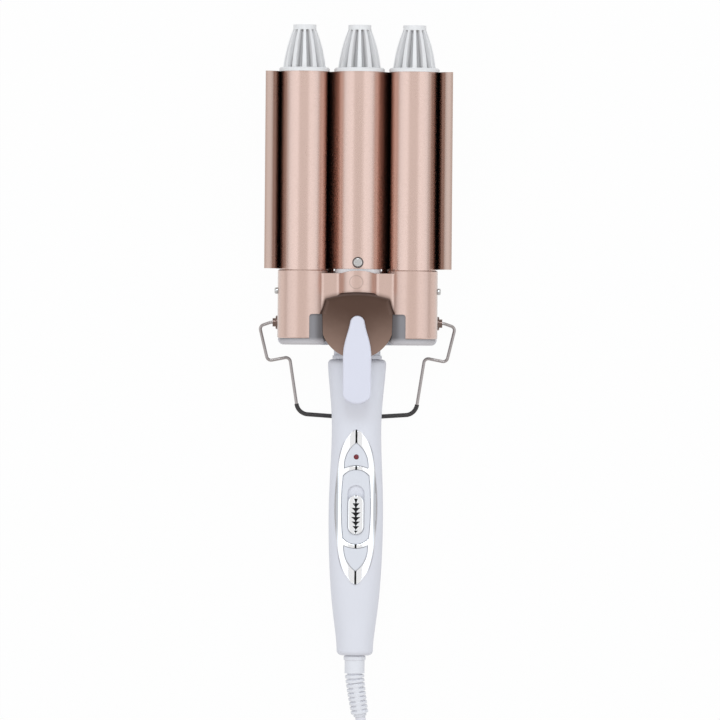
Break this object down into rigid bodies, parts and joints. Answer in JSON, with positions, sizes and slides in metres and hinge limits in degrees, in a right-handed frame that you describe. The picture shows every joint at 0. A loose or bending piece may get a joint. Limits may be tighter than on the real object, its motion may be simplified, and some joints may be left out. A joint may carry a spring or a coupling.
{
  "type": "hair waver",
  "caption": "Corded hair waver: fixed wave-shaped rear jaw, lever-opened front jaw with parallel barrels, slide switch, wire stand and swivelling cord.",
  "frame": {"origin": "on the resting surface, the plane of the rear housing's flat back, below the middle of the waver measured without its cord", "axes": "+Z out of the waver's front, where the switch and the thumb lever are; +Y along the barrels to their tips; +X to the right for someone who looks at its front"},
  "size_m": [0.1836, 0.4581, 0.0417],
  "materials": {
    "white_body": "fine satin moulding",
    "white_gloss": "smooth, softly glossy",
    "white_window": "smooth translucent white",
    "ring_white": "matt heat-resistant moulding",
    "rose_gold": "satin rose-gold coating",
    "socket_grey": "matt moulding",
    "bright_chrome": "bright plated",
    "steel": "drawn and nickel plated",
    "dark_rubber": "matt sleeve",
    "dark_plastic": "matt moulding",
    "bush_bronze": "dark polished",
    "lamp_red": "red tinted lens",
    "board_green": "solder mask",
    "lead_white": "silicone insulation",
    "heater_ceramic": "unglazed",
    "spreader_aluminium": "extruded",
    "contact_brass": "stamped",
    "cord_white": "smooth flexible jacket",
    "tie_black": "matt tie band",
    "pin_nickel": "nickel plated brass"
  },
  "bodies": {
    "handle": {"handle_front_shell": "white_body", "handle_rear_shell": "white_body", "rear_housing": "white_body", "jaw_frame": "white_body", "centre_cap": "white_gloss", "upper_window": "white_window", "lower_window": "white_window", "switch_plate": "white_window", "insulating_ring": "ring_white", "centre_barrel": "rose_gold", "bezel_frame": "bright_chrome", "hinge_pin": "steel", "hinge_clips": "steel", "torsion_spring": "steel", "housing_screws": "steel", "handle_screws": "steel", "board_screws": "steel", "centre_barrel_screw": "steel", "switch_body": "dark_plastic", "contact_block": "dark_plastic", "stand_bushes": "bush_bronze", "indicator_lens": "lamp_red", "indicator_lamp": "lamp_red", "circuit_board": "board_green", "heater_leads": "lead_white", "centre_heater": "heater_ceramic", "centre_heat_spreader": "spreader_aluminium", "contact_springs": "contact_brass"},
    "front_jaw": {"clamp_housing": "rose_gold", "thumb_lever": "white_gloss", "lever_screws": "steel", "left_barrel": "rose_gold", "right_barrel": "rose_gold", "left_cap": "white_gloss", "right_cap": "white_gloss", "left_barrel_socket": "socket_grey", "right_barrel_socket": "socket_grey", "side_screws": "steel", "left_heater": "heater_ceramic", "right_heater": "heater_ceramic", "left_heat_spreader": "spreader_aluminium", "right_heat_spreader": "spreader_aluminium"},
    "stand": {"stand_wire": "steel", "stand_sleeve": "dark_rubber"},
    "switch_button": {"slide_button": "bright_chrome"},
    "cord_set": {"swivel_sleeve": "cord_white", "swivel_rings": "contact_brass", "strain_relief": "cord_white", "cord_tube": "cord_white", "cord_tail": "cord_white", "cord_coil": "cord_white", "coil_ties": "tie_black", "plug_body": "cord_white", "plug_pins": "pin_nickel"}
  },
  "joints": [
    {"name": "jaw_hinge", "type": "hinge", "parent": "handle", "child": "front_jaw", "pos_m": [0, 0.004, 0.018], "axis": [1, 0, 0], "range_deg": [0, 15], "stiffness_Nm_per_rad": 0.6, "springref_deg": -22.92, "deforming": ["torsion_spring"]},
    {"name": "stand_hinge", "type": "hinge", "parent": "handle", "child": "stand", "pos_m": [0, 0.0091, 0.0052], "axis": [1, 0, 0], "range_deg": [0, 105]},
    {"name": "switch_slide", "type": "slide", "parent": "handle", "child": "switch_button", "axis": [0, 1, 0], "range_m": [0, 0.005]},
    {"name": "cord_swivel", "type": "hinge", "parent": "handle", "child": "cord_set", "pos_m": [0, -0.17, 0.0142], "axis": [0, -1, 0], "continuous": true}
  ]
}
